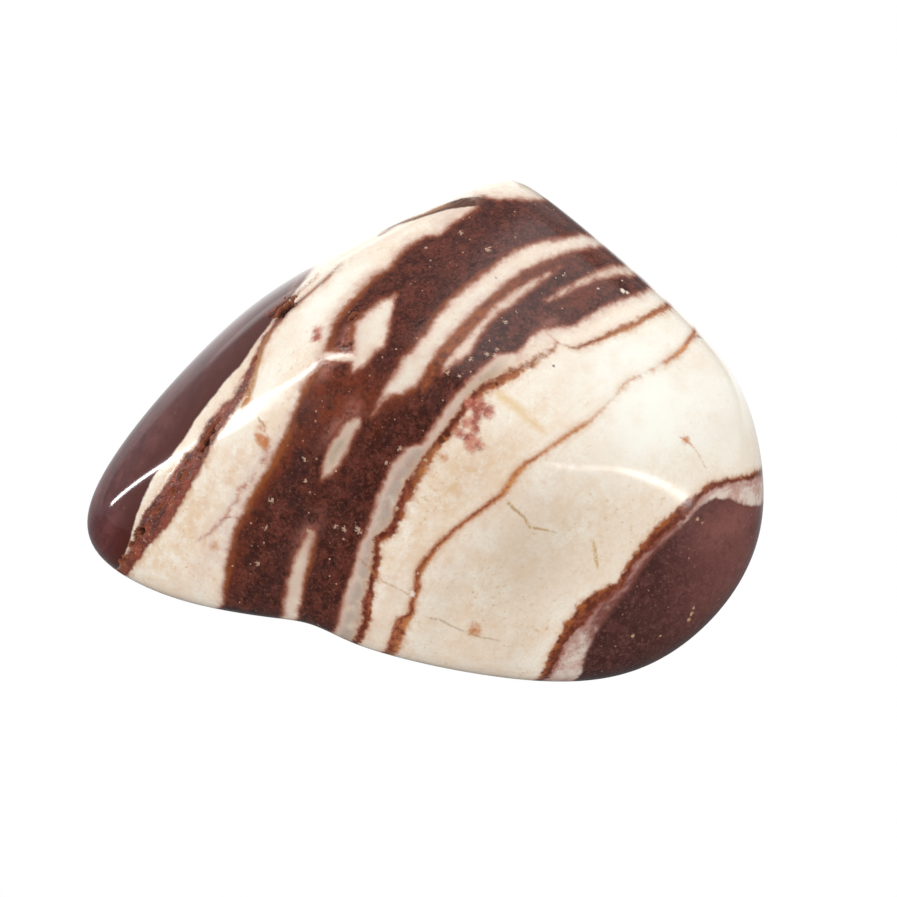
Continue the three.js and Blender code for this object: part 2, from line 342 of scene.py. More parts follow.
# veins that run with the bands: angle, radius, width, strength
veins = {
    "thinVein": [(175, 23.6, 0.5), (163, 24.1, 0.7), (160.5, 24.3, 0.75), (158.3, 24.45, 0.7),
        (157.3, 24.2, 0.45), (155.7, 24.4, 0.35), (153.8, 24.6, 0.4), (152, 25, 0.4), (149.6, 25, 0.4),
        (147.5, 24.9, 0.3), (143, 24.5, 0.25), (140, 24.2, 0.28), (138.3, 24.05, 0.3), (137.3, 24.1, 0.36),
        (134.6, 24.3, 0.38, 1), (133.3, 24.3, 0.28), (130.7, 24.1, 0.22, 0.75), (125.4, 23.9, 0.26, 0.7),
        (123, 23.8, 0.16, 0.55), (119, 24, 0.16, 0.35), (116.2, 24.4, 0.2, 0.5), (113.3, 24.3, 0.18, 0.4),
        (109.5, 24.4, 0.2, 0.6), (107, 24.6, 0.28, 0.8), (105.5, 24.95, 0.26, 0.9), (100, 25.6, 0.2)],
    "jaggedVein": [(175, 25.4, 0.4), (168, 25.8, 0.6), (162, 26.05, 0.45), (160, 26.15, 0.5),
        (158, 26.55, 0.5), (155.5, 26.8, 0.45), (153, 27.25, 0.45), (151, 27.75, 0.5), (149.5, 27.45, 0.6),
        (148, 27.55, 0.5), (145, 28, 0.6), (142.5, 28.2, 0.65), (139, 28.45, 0.5), (136, 28.6, 0.45),
        (133.5, 28.85, 0.4), (131, 28.75, 0.5), (129, 28.5, 0.56, 1), (126.5, 28.22, 0.42, 0.6),
        (124, 27.97, 0.4, 0.58), (122, 27.93, 0.34, 0.6), (121, 28.1, 0.15), (120.5, 27.7, 0.05, 0.6),
        (119.6, 27.3, 0.14, 0.7), (118, 27.1, 0.25, 1), (115, 26.95, 0.3), (112, 26.85, 0.3),
        (107, 26.9, 0.35), (100, 26.6, 0.3)],
    "serratedVein": [(180, 14.9, 0.5), (166, 15.3, 0.5), (158, 15.55, 0.55), (153.5, 15.85, 0.65),
        (150, 15.9, 0.6), (147.5, 16, 0.9), (145.7, 15.9, 0.95), (142.5, 15.95, 0.95), (140, 15.85, 0.7),
        (137.5, 15.7, 0.65), (135.3, 15.4, 0.45), (131, 15.9, 0.45), (126.5, 16.2, 0.55), (124, 16.4, 0.75),
        (121.5, 16.45, 0.85), (118, 16.6, 0.7), (115, 16.8, 0.65), (112, 17.1, 0.45), (109.5, 17.25, 0.45),
        (106, 17.05, 0.3), (102.5, 16.85, 0.35), (98, 16.75, 0.45), (90, 16.4, 0.5)],
    "pittedVein": [(176, 38.9, 0.5), (168, 38.8, 0.7), (162.6, 38.6, 0.6), (161.5, 38.5, 0.75),
        (160.5, 38.45, 0.95), (159.5, 38.35, 1.2), (158.5, 38.27, 1.4), (157.5, 38.17, 1.4),
        (156.4, 38.09, 1.3), (155.4, 38.05, 1.2), (153.5, 37.97, 1.1), (152.5, 37.92, 1),
        (151.5, 37.86, 0.7), (149.7, 37.95, 0.7), (147.6, 37.84, 0.62), (146.5, 37.74, 0.45),
        (145.5, 37.74, 0.55), (144.7, 37.87, 0.45), (143.8, 37.93, 0.34), (142, 38.13, 0.28),
        (141.1, 38.23, 0.28), (140.1, 38.27, 0.2), (139.2, 38.3, 0.3, 1), (138, 38.2, 0.14, 0.9),
        (136, 38.09, 0.1, 0.8), (134.5, 38.01, 0.12, 0.7), (132.5, 37.98, 0.12, 0.5),
        (130.6, 37.8, 0.08, 0.3)],
    "flankHair": [(137.4, 38.36, 0.1), (136.1, 38.44, 0.12), (135.1, 38.36, 0.1), (133.9, 38.34, 0.08)],
    "outerHair": [(137, 38.66, 0.1), (135.6, 38.72, 0.1), (134, 38.6, 0.08), (132.6, 38.5, 0.06)],
    "ochreEdge": [(140.4, 38.24, 0.06), (141.8, 38.14, 0.12), (142.7, 37.98, 0.16), (143.6, 37.76, 0.18),
        (144.4, 37.6, 0.22), (145.2, 37.48, 0.28), (146.2, 37.4, 0.3), (147, 37.26, 0.2),
        (147.6, 37.2, 0.1)],
    "crestLine": [(128.4, 37.7, 0.05, 0.5), (126.4, 37.48, 0.07, 0.6), (124, 37.08, 0.12, 1),
        (122, 36.78, 0.26), (120.4, 36.45, 0.5, 1), (119.4, 36.2, 0.5, 0.5), (118, 35.9, 0.4, 0)],
    "rustSeam": [(136, 30.9, 0.15), (134.8, 31.1, 0.3), (132.6, 31.45, 0.4), (129.8, 31.57, 0.4),
        (126.9, 31.65, 0.35, 1), (124.5, 31.8, 0.35, 0.8), (122.5, 31.85, 0.3, 0.6), (120, 31.8, 0.3, 0.45),
        (117.6, 31.75, 0.25, 0.4), (114, 31.4, 0.2, 0.4)],
    "roseSeam": [(147.4, 35.9, 0.2), (147.9, 35.4, 0.3), (149.2, 35.05, 0.3), (150.5, 34.85, 0.25),
        (152, 34.95, 0.3), (153, 35.15, 0.25), (154.3, 35.08, 0.2), (155.3, 35.12, 0.22),
        (156.4, 35.23, 0.2), (157.4, 35.41, 0.16), (158.8, 35.8, 0.12)],
    "backVein": [(166, 20.2, 0.25), (150, 21.3, 0.35), (141, 20.8, 0.2), (130, 21.4, 0.4), (121, 20.6, 0.3),
        (110, 21.1, 0.2), (98, 21.8, 0.3)],
    "forkHair": [(106.6, 24.79, 0.1), (105.3, 24.98, 0.12), (104, 24.9, 0.12), (102.9, 24.62, 0.08)],
}
# cracks that cut across the bands: radius, angle, width
cracks = {
    "ochreCrack": [(23.65, 138.2, 0.16), (22.89, 138.3, 0.18), (22.16, 138.2, 0.14), (21.6, 138.7, 0.18),
        (20.86, 137.5, 0.12), (20.2, 136.5, 0.08)],
    "orangeCrack": [(20.6, 112.6, 0.08), (20.2, 111.8, 0.14), (19.8, 111, 0.08), (19.3, 110.5, 0.06),
        (18.6, 110.1, 0.06), (18.1, 109.8, 0.04)],
    "leftHair": [(28.1, 153.7, 0.1), (27.2, 154.3, 0.12), (26.3, 154.9, 0.06), (25.3, 154.9, 0.05),
        (24.7, 155.1, 0.04)],
    "bottomHair": [(23.4, 156.8, 0.05), (22.6, 156.4, 0.09), (21.3, 156.6, 0.06), (20.1, 156.4, 0.05),
        (19, 155.7, 0.06)],
    "greenTick": [(36.5, 146.7, 0.06), (36.3, 146.95, 0.14), (36, 147.1, 0.12), (35.7, 147.3, 0.05)],
    "ochreTick": [(18.5, 133.3, 0.08), (18.2, 133.7, 0.2), (17.69, 134.7, 0.28), (17.22, 135.7, 0.18),
        (17, 136.1, 0.06)],
    "backCrack": [(27.5, 136, 0.08), (25, 134, 0.12), (22.5, 134.5, 0.08), (19, 131, 0.05)],
    "purpleFork": [(35.2, 156, 0.12), (34.8, 155.5, 0.1), (34.3, 155.4, 0.1)],
    "pinkHair": [(28.9, 121.6, 0.06), (28.4, 121.2, 0.1), (27.9, 121, 0.06)],
    "yellowStreak": [(28.2, 130.2, 0.4), (26.9, 129.6, 0.5), (25.9, 129.2, 0.35), (24.8, 128.7, 0.2)],
}


def bandPlaces(points):
    tilt = math.radians(banding["lookUp"])
    upwards = np.array([0, math.sin(tilt), math.cos(tilt)])
    inwards = np.array([0, math.cos(tilt), -math.sin(tilt)])
    depth = points @ inwards
    x = points[:, 0] + banding["lean"][0] * depth - banding["axis"][0]
    y = points @ upwards + banding["lean"][1] * depth - banding["axis"][1]
    return np.hypot(x, y), np.degrees(np.arctan2(y, x)), depth


def ramp(value, low, high):  # a smooth rise from 0 to 1
    t = np.clip((value - low) / (high - low), 0, 1)
    return t * t * (3 - 2 * t)


def arcLength(degrees, radius):
    return degrees * np.radians(1) * radius


def alongRows(rows, at, column=1):
    rows = sorted(rows)
    return np.interp(at, [r[0] for r in rows], [r[column] for r in rows])


def along(name, angle):
    return alongRows(banding[name], angle)


def toNearerEnd(rows, at):
    starts = [row[0] for row in rows]
    return np.minimum(at - min(starts), max(starts) - at)


def insideLens(rows, radius, angle):
    body = np.minimum(radius - alongRows(rows, angle), alongRows(rows, angle, 2) - radius)
    return np.minimum(body, arcLength(toNearerEnd(rows, angle), radius))


def veinField(rows, radius, angle):  # offset from its middle, half its width, how strong it is
    ends = arcLength(toNearerEnd(rows, angle), radius)
    half = alongRows(rows, angle, 2) / 2
    strength = alongRows([r for r in rows if len(r) > 3] or [(0, 0, 0, 1)], angle, 3)
    return np.stack([radius - alongRows(rows, angle), np.minimum(half, ends), strength], 1)


def crackField(rows, radius, angle):
    half = alongRows(rows, radius, 2) / 2
    offset = arcLength(angle - alongRows(rows, radius), radius)
    return np.stack([offset, np.minimum(half, toNearerEnd(rows, radius)), np.ones(len(radius))], 1)


radius, angle, depth = bandPlaces(points)
warp = banding["warp"]
hidden = ramp(depth, warp["starts"], warp["full"])
radius = radius + hidden * warp["radius"] * fieldOf(points, warp["swell"], warp["seeds"][0])
angle = angle + hidden * warp["angle"] * fieldOf(points, warp["swell"], warp["seeds"][1])
zebra = np.minimum(radius - along("zebraRight", angle), along("zebraLeft", angle) - radius)
for name, rows in lenses.items():
    opens, closes = banding["lensDepths"][name]
    opening = ramp(depth, opens - banding["lensOpening"], opens + banding["lensOpening"])
    closing = ramp(depth, closes, closes + banding["lensClosing"])
    shut = banding["lensShut"] * (closing + 1 - opening)
    zebra = np.minimum(zebra, shut - insideLens(rows, radius, angle))
fields = {
    "zebra": zebra,
    "rightCap": along("rightCap", angle) - radius,
    "leftCap": radius - along("leftCap", angle),
    "pit": pitDepth,
}
for name, rows in veins.items():
    fields[name] = veinField(rows, radius, angle)
for name, rows in cracks.items():
    fields[name] = crackField(rows, radius, angle)
for name in banding["hiddenOnly"]:
    fields[name][:, 2] *= ramp(depth, *banding["hiddenFade"])
for name in banding["frontOnly"]:
    fields[name][:, 2] *= 1 - ramp(depth, *banding["frontFade"])
fields["crestLine"][:, 2] *= 1 - ramp(depth, *banding["crestFade"])

# where a colour swells, some of them painted sheen, highlight or shade: angle, radius, reach along the band,
# reach across it, how strong
washes = {
    "ruddy": [(141.5, 34.9, 1.2, 0.6, 0.8), (142, 33.6, 1.8, 1, 1), (140, 33.2, 1.3, 1.3, 0.8),
        (138.8, 36, 1.4, 0.6, 0.7), (130, 31.6, 6, 0.5, 0.8), (116, 29.3, 1.5, 0.5, 0.6),
        (124.5, 31.7, 2, 0.35, 0.6), (160, 33.6, 3, 0.4, 0.5), (150, 34.2, 6, 0.45, 0.7),
        (111, 31.2, 2, 0.8, 0.4)],
    "ochreRim": [(150, 34.5, 5, 0.5, 1), (141, 35.6, 4, 0.5, 0.9), (161, 33.7, 3, 0.35, 0.8),
        (134, 36.5, 4, 0.4, 0.6), (129, 31.7, 4.5, 0.5, 1), (128, 33.2, 5, 0.3, 0.5),
        (157, 30.1, 2.5, 0.3, 0.6)],
    # lilac ground in the pale lenses and stripes, and on the crest's edge a painted sheen
    "lilac": [(122.3, 36.45, 1.3, 0.35, 1), (126, 31.2, 5, 0.5, 0.6), (115, 30, 5, 0.5, 0.6),
        (158, 34.8, 3, 0.5, 0.6), (151, 35.1, 4, 0.5, 0.7), (137, 35.6, 1.2, 0.8, 0.7),
        (121.6, 28.6, 1.2, 0.5, 0.5), (158, 25.4, 3, 0.8, 0.4)],
    "peach": [(133, 26.6, 2.5, 0.8, 0.5), (157, 36.6, 5, 0.9, 0.75), (160, 37.3, 4, 0.9, 0.6),
        (148, 36.4, 4, 0.8, 0.7), (152, 36, 3, 0.5, 1), (150, 25.9, 4, 1, 0.6), (139.5, 26.3, 3.5, 1.2, 1),
        (135, 25.3, 3, 0.8, 0.6), (129, 20.2, 4, 2, 0.6), (118, 18.7, 4, 1, 0.5), (150, 21, 4, 2, 0.4),
        (113, 26, 3, 0.6, 0.6), (125, 26.2, 3, 0.8, 0.5)],
    "rosy": [(141.3, 33, 0.5, 0.5, 0.6), (140, 35.3, 0.9, 0.3, 0.8), (137, 35.4, 0.7, 0.35, 1),
        (136.2, 35.7, 0.4, 0.25, 0.7), (143, 33.1, 1.5, 0.3, 0.6), (154, 31, 1.2, 0.4, 0.7),
        (121, 29.1, 1.2, 0.3, 0.5)],
    # greyish yellow in the lenses and stripes, and over the lower front cream a painted shade
    "duskAndPaintedShade": [(130.4, 29.2, 1.5, 0.6, 1), (157, 30.3, 4, 0.6, 0.55), (145, 32.3, 3.2, 0.7, 1),
        (143, 20.8, 5, 3, 0.36), (152.5, 22.8, 4, 1.6, 0.26), (154.5, 18.2, 3, 1.6, 0.18),
        (139.3, 25.9, 3, 1.3, 0.1), (154, 30.6, 1.6, 0.7, 1), (158, 30.3, 5, 0.6, 0.4),
        (134, 32.2, 9, 1, 0.28), (136, 34.8, 3, 1.2, 0.2), (121, 31.3, 5, 0.5, 0.35), (112, 30, 5, 0.5, 0.3),
        (103.5, 20, 4, 1.2, 0.07)],
    # whiter cream in the lenses and stripes, and on the upper right a painted highlight where the light
    # falls strongest
    "chalkAndPaintedHighlight": [(134.6, 34.8, 2, 0.8, 0.35), (130, 32.4, 8, 0.8, 0.3), (114.5, 23, 4, 2, 1),
        (108, 21.5, 6, 4, 0.8), (114, 25.5, 5, 2, 0.9), (115, 21.5, 5, 2.5, 0.9), (110, 33, 4, 1.5, 0.7),
        (104, 27.5, 4, 1.5, 0.7), (124, 27, 4, 1, 0.5), (146, 37, 3, 1, 0.6), (135, 37.4, 4, 0.8, 0.7)],
    "gilt": [(126, 28.2, 3, 0.7, 0.3), (136.3, 24.1, 0.8, 0.5, 1), (134.5, 24.4, 0.6, 0.5, 0.9),
        (128, 24, 2.5, 0.4, 0.75), (118, 24, 4, 0.8, 0.8), (106.5, 24.6, 1.2, 0.6, 1),
        (139.4, 28, 0.7, 0.5, 0.7), (141.8, 28, 0.6, 0.4, 0.6), (112, 26.8, 4, 0.5, 0.5)],
    # painted sheen: the upper dark band is lightened to a greyish lilac where light glances off it
    "paintedSheenWash": [(122, 34.6, 5, 1.5, 0.14), (117, 34, 5, 1.5, 0.14)],
    "blush": [(138, 26, 3, 1, 0.3), (128, 22.5, 5, 1.2, 0.4), (155, 26, 3, 0.5, 0.5),
        (145, 23.5, 4, 0.8, 0.4), (159, 35.6, 3, 0.8, 0.6), (153, 36.2, 3, 0.6, 0.6)],
    # pink flush on the right cap, lighter on its upper part and right edge: partly a painted sheen
    "capFlushAndPaintedSheen": [(107, 14.6, 3.2, 1.8, 0.85), (100, 11.6, 5, 3.6, 0.75)],
}
front = 1 - ramp(depth, *banding["washFade"])


def wash(rows, radius, angle):
    total = np.zeros(len(radius))
    for atAngle, atRadius, reachAlong, reachAcross, strength in rows:
        runAlong = arcLength(angle - atAngle, radius) / reachAlong
        runAcross = (radius - atRadius) / reachAcross
        total = np.maximum(total, strength * np.exp(-runAlong ** 2 - runAcross ** 2))
    return total * front


for name, rows in washes.items():
    fields[name] = wash(rows, radius, angle)
pastVein = radius - alongRows(veins["jaggedVein"], angle)
greyRoom = np.minimum(pastVein, along("zebraRight", angle) - radius)
fields["greyStrip"] = ramp(greyRoom, *banding["greyEdge"]) * ramp(angle, *banding["greyAngles"]) * front
fields["capStrip"] = along("capStrip", angle)
fields["bandPlace"] = np.stack([radius, np.radians(angle) * banding["flowRadius"], depth], 1)

mesh = bpy.data.meshes.new("zebra_stone")
for vert, place in zip(ball.verts, places):
    vert.co = place
ball.to_mesh(mesh)
ball.free()
mesh.shade_smooth()
clean = (pitDepth == 0) & (points[:, 2] > seatLevel + stone["seatMargin"])
mesh.normals_split_custom_set_from_vertices((slopeNormals(towards) * clean[:, None]).tolist())
for name, values in fields.items():
    kind, entry = ("FLOAT", "value") if values.ndim == 1 else ("FLOAT_VECTOR", "vector")
    layer = mesh.attributes.new(name, kind, "POINT")
    layer.data.foreach_set(entry, values.astype(np.float32).ravel())
jasper = bpy.data.objects.new("zebra_stone", mesh)
bpy.context.scene.collection.objects.link(jasper)
print("stone mesh:", len(mesh.polygons), "faces")

# small marks set down one by one: angle, radius, size
marks = {
    "paleGrain": [(154.6, 24.6, 0.16), (154.4, 24.75, 0.1), (148.4, 24.8, 0.08), (151.8, 25.03, 0.08),
        (150.8, 28.9, 0.14), (151.1, 28.8, 0.1), (143.4, 29.75, 0.08), (141.4, 29.87, 0.09),
        (128.3, 29.97, 0.1), (127.6, 29.6, 0.09), (127.2, 29.75, 0.06), (129.8, 30.2, 0.08),
        (132.1, 30.2, 0.07), (132.7, 30.66, 0.08), (116.2, 30.7, 0.06), (124.5, 30.6, 0.08),
        (122.9, 30.6, 0.06), (121.5, 34, 0.12), (126.1, 35.9, 0.06), (122.5, 35.4, 0.1), (153.4, 31.1, 0.13),
        (147.6, 33.2, 0.09), (149.3, 32.6, 0.08), (155.2, 33, 0.1), (151.6, 29.5, 0.12), (151.9, 30, 0.08),
        (158.8, 32.5, 0.1), (152.6, 33.6, 0.12)],
    "whiteGrain": [(111.1, 28.62, 0.12), (110.8, 28.55, 0.1), (113.5, 29.2, 0.06), (154.9, 24.6, 0.13)],
    "tanGrain": [(126.6, 10.9, 0.12), (126.2, 11.05, 0.12), (125.8, 11.2, 0.11), (125.3, 11.35, 0.08),
        (140.7, 12.7, 0.06), (137, 11.5, 0.07), (114.1, 15.8, 0.06), (113.8, 15.6, 0.06),
        (103.8, 14.3, 0.06), (147, 27.9, 0.1), (141, 28.4, 0.08)],
    "orangeStain": [(145.8, 37.32, 0.16), (146.5, 37.25, 0.16), (148.1, 35.75, 0.24), (148.3, 35.45, 0.28),
        (147.5, 36.1, 0.16), (158.7, 34.95, 0.2), (155.6, 20.55, 0.28), (111.7, 20.15, 0.16),
        (139.6, 27.9, 0.14), (141.8, 28.1, 0.14), (137.9, 28.35, 0.16)],
    "wineStain": [(138.4, 36.5, 0.3), (138, 36.75, 0.26), (133.2, 28.8, 0.3), (132.6, 28.35, 0.42),
        (132.4, 27.7, 0.34), (133.6, 27.9, 0.36), (134.4, 28.1, 0.3), (135.1, 28.1, 0.34),
        (136, 27.95, 0.34), (134.6, 27.7, 0.26), (135.9, 27.4, 0.38), (135.7, 26.95, 0.3),
        (136.3, 27.1, 0.26)],
    "brownPatch": [(139.3, 38.8, 0.16), (138.7, 38.75, 0.22), (138, 38.7, 0.24), (137.4, 38.62, 0.24),
        (137, 38.4, 0.2), (137.3, 38.2, 0.14), (138.4, 38.35, 0.26), (139, 38.3, 0.2)],
    "darkDot": [(129.5, 28.5, 0.1), (136.9, 35.3, 0.13), (123.2, 27.3, 0.04), (122.5, 32.5, 0.04),
        (137.1, 28.54, 0.2), (138.2, 28.55, 0.2)],
}
markDeepest = 0.5  # the marks stay on the front


def markPlace(atAngle, atRadius):  # the point of the front skin nearest to that angle and radius
    miss = arcLength(angle - atAngle, radius) ** 2 + (radius - atRadius) ** 2
    miss[depth > markDeepest] = np.inf
    return places[np.argmin(miss)]


# polished jasper: pale ground, dark bands, veins, stains, grains, pits
polish = {
    "ior": 1.54,
    "roughness": 0.13, "darkGloss": -0.04, "darkDust": (0.01, 0.07), "veinDull": 0.4, "pitDull": 0.5,
    # how high the small relief stands, in millimetres
    "bandDust": 0.007, "bandCrumb": 0.012, "veinCrumb": 0.1,
}
tints = {  # as paint charts give them, 0 to 255
    # pale ground
    "cream": (240, 224, 205), "ivory": (246, 237, 222), "peachCream": (238, 214, 189),
    "sandStreak": (232, 203, 170), "peach": (226, 188, 142), "blush": (226, 196, 188),
    "tanCloud": (212, 168, 120), "biscuit": (224, 202, 180), "wheat": (226, 194, 158),
    # of the next two, the near white is whiter cream and on the upper right a painted highlight; the lilac
    # is lilac ground and at the crest's edge a painted sheen
    "chalkAndPaintedHighlight": (248, 248, 238), "lilac": (212, 194, 184), "greyDeep": (158, 137, 125),
    # the dull greyish yellow at the end of the next line also paints shade on the lower front cream
    "greyLight": (179, 161, 149), "greyRose": (176, 134, 116), "duskAndPaintedShade": (164, 145, 122),
    "tanSpeck": (190, 140, 104), "veinStain": (210, 166, 132),
    # dark bands
    "maroonDeep": (61, 27, 20), "maroon": (101, 50, 39), "maroonCloud": (60, 35, 32),
    # the greyish lilac at the start of the next line paints sheen on the upper dark band
    "mist": (140, 104, 102), "rustDust": (120, 70, 58), "blackGrain": (40, 19, 15), "ruddy": (132, 56, 24),
    "rosy": (172, 112, 98), "rimBrown": (130, 68, 50), "rimOchre": (152, 84, 38),
    "bandSpeck": (212, 168, 142), "halo": (214, 184, 168), "bandEdge": (178, 128, 106),
    # caps
    "capDeep": (66, 34, 30), "cap": (90, 51, 46), "capCloud": (66, 38, 34), "capDust": (124, 82, 76),
    # the light pink in the middle of the next line is partly a painted sheen on the cap's upper part and
    # right edge
    "capGrain": (50, 28, 26), "capFlushAndPaintedSheen": (146, 92, 86), "capEdge": (112, 64, 56),
    "capSpeck": (180, 140, 120), "stripCream": (216, 198, 186), "stripRose": (196, 156, 142),
    "stripDark": (122, 72, 64), "stripStreak": (178, 132, 122), "noseDeep": (90, 46, 45),
    "nose": (108, 62, 60), "noseStreak": (70, 36, 44), "noseEdge": (78, 32, 24),
    "noseSpeck": (150, 104, 96),
    # veins
    "gilt": (208, 144, 92), "veinSpeck": (214, 172, 148), "seamRust": (152, 84, 46),
    "seamDeep": (104, 54, 38), "umberDeep": (108, 38, 18), "umber": (150, 64, 32),
    "umberStreak": (78, 30, 14), "umberCrumb": (182, 136, 112), "umberEdge": (140, 56, 32),
    "crestBrown": (96, 50, 30), "crestGold": (162, 106, 58), "ochre": (172, 116, 54),
    "roseLight": (196, 132, 104), "roseDeep": (168, 104, 92), "hairBrown": (150, 104, 92),
    "yellowStreak": (224, 186, 120),
    # veins of four tints: light, deep, core, sunny side
    "thinVein": ((182, 112, 76), (148, 80, 52), (112, 50, 34), (196, 126, 72)),
    "jaggedVein": ((150, 80, 58), (114, 54, 40), (86, 34, 24), (168, 94, 50)),
    "serratedVein": ((146, 78, 54), (116, 56, 40), (92, 40, 28), (168, 94, 46)),
    "backVein": ((162, 94, 72), (128, 66, 50), (98, 40, 28), (176, 104, 52)),
    # hairs and cracks
    "ochreCrack": (176, 134, 72), "orangeCrack": (204, 140, 88), "leftHair": (176, 124, 80),
    "bottomHair": (160, 132, 100), "greenTick": (150, 108, 44), "ochreTick": (196, 160, 92),
    "backCrack": (160, 116, 70), "purpleFork": (150, 84, 80), "pinkHair": (206, 150, 136),
    # marks and pits
    "orangeStain": (190, 112, 48), "wineStain": (148, 58, 46), "winePale": (200, 130, 108),
    "darkDot": (84, 40, 26), "tanGrain": (196, 158, 124), "paleGrain": (206, 172, 148),
    "whiteGrain": (232, 214, 198), "pitRim": (156, 90, 62), "pitFloor": (60, 25, 13),
}


def nodesOf(owner):
    owner.use_nodes = True
    return owner.node_tree


finish = bpy.data.materials.new("polished_jasper")
tree = nodesOf(finish)
shader = tree.nodes["Principled BSDF"]
shader.inputs["IOR"].default_value = polish["ior"]


def feed(socket, value):  # a tint or its name, a number, or another node's output
    if isinstance(value, str):
        value = tints[value]
    if isinstance(value, tuple):
        socket.default_value = (*(((c / 255 + 0.055) / 1.055) ** 2.4 for c in value), 1)
    elif isinstance(value, (int, float)):
        socket.default_value = value
    else:
        tree.links.new(value, socket)


def newNode(kind, inputs=(), **settings):
    node = tree.nodes.new("ShaderNode" + kind)
    for name, value in settings.items():
        setattr(node, name, value)
    for entry, value in dict(inputs).items():
        feed(node.inputs[entry], value)
    return node


def attribute(name, output="Fac"):
    return newNode("Attribute", attribute_name=name).outputs[output]


def calc(kind, a, b=0.0):
    return newNode("Math", {0: a, 1: b}, operation=kind).outputs[0]


def mapped(value, low, high, lowest=0.0, highest=1.0):
    inputs = {"Value": value, "From Min": low, "From Max": high, "To Min": lowest, "To Max": highest}
    return newNode("MapRange", inputs, interpolation_type="SMOOTHSTEP").outputs["Result"]


def mixed(factor, a, b):
    return newNode("Mix", {0: factor, 6: a, 7: b}, data_type="RGBA").outputs[2]


def split(vector):
    return newNode("SeparateXYZ", {0: vector}).outputs[:3]


def fieldParts(name):  # a vein's or a crack's offset, half width and strength
    return split(attribute(name, "Vector"))


def chained(kind):  # the same sum over any number of values
    return lambda *values: functools.reduce(lambda a, b: calc(kind, a, b), values)


times, plus, most = chained("MULTIPLY"), chained("ADD"), chained("MAXIMUM")


def minus(a, b):
    return calc("SUBTRACT", a, b)


def between(start, end, share):  # that share of the way from one value to the other
    return plus(start, times(share, minus(end, start)))


def sway(noise, reach):  # a noise of 0 to 1 as a push to either side
    return times(minus(noise, 0.5), reach)


def layered(under, layers):  # tints laid on one after another, each in its share
    for tint, shares in layers.items():
        under = mixed(times(*shares), under, tint)
    return under


stoneSpace = newNode("TexCoord").outputs["Object"]


def grain(size, detail=2.0, space=stoneSpace, unit=mm, harsh=0.5):  # three unlike noises, their swell in mm
    inputs = {"Vector": space, "Scale": 1 / (size * unit), "Detail": detail, "Roughness": harsh}
    return split(newNode("TexNoise", inputs).outputs["Color"])


def specks(size, radius, share):  # round grains in that share of the cells
    node = newNode("TexVoronoi", {"Vector": stoneSpace, "Scale": 1 / (size * mm)})
    chance = split(node.outputs["Color"])
    reach = times(minus(chance[0], 1 - share), radius / size / share)
    return mapped(minus(reach, node.outputs["Distance"]), -0.04, 0.05), chance[1]


def vectorMath(kind, vector, fixed):
    node = newNode("VectorMath", {0: vector}, operation=kind)
    node.inputs[1].default_value = fixed
    return node.outputs


swell = grain(3.5)
cloud = grain(1.3)
curd = grain(0.7)
crumb = grain(0.28)
dust = grain(0.11, 3)
mottle = grain(0.7, 5, harsh=0.72)
sand = grain(0.2, 3, harsh=0.7)
alongBands = vectorMath("MULTIPLY", attribute("bandPlace", "Vector"), (1, 0.12, 0.12))["Vector"]
flow = grain(0.35, 3, alongBands, 1)
ragged = plus(sway(curd[0], 0.45), sway(crumb[0], 0.4), sway(dust[1], 0.06))
finer = plus(sway(curd[1], 0.3), sway(crumb[1], 0.2), sway(dust[2], 0.06))
frayed = plus(finer, sway(sand[1], 0.24))
fineSpeck, fineTone = specks(0.36, 0.07, 0.55)


def veinMask(name, rag=ragged, soft=0.13, grow=0.0):
    offset, half, strength = fieldParts(name)
    rag = times(rag, mapped(half, 0.06, 0.26, 0.45, 1))
    inside = minus(plus(half, grow), calc("ABSOLUTE", plus(offset, rag)))
    worn = mapped(plus(strength, sway(mottle[1], 1.1)), 0.2, 0.8)
    return times(mapped(inside, -soft, soft), worn)


def veinPaint(name, under, sunnySide=-1, rag=ragged):
    light, deep, core, sunny = tints[name]
    tone = mixed(mapped(sand[0], 0.35, 0.65), light, deep)
    middle = times(veinMask(name, rag, 0.1, -0.1), mapped(mottle[1], 0.38, 0.58), 0.85)
    tone = mixed(middle, tone, core)
    side = mapped(times(fieldParts(name)[0], sunnySide), -0.08, 0.2)
    tone = mixed(times(side, mapped(mottle[2], 0.4, 0.58), 0.8), tone, sunny)
    tone = mixed(times(attribute("gilt"), mapped(sand[2], 0.35, 0.55, 0.5, 1)), tone, "gilt")
    tone = mixed(times(fineSpeck, mapped(fineTone, 0.3, 0.8), 0.6), tone, "veinSpeck")
    return mixed(veinMask(name, rag), under, tone)


def markMask(name, soft=0.06, rag=0.35, worn=crumb[2]):
    insides = []
    for atAngle, atRadius, size in marks[name]:
        away = vectorMath("DISTANCE", stoneSpace, markPlace(atAngle, atRadius))["Value"]
        insides.append(minus(size, times(away, 1 / mm)))
    return mapped(plus(most(*insides), sway(worn, rag)), -soft, soft)


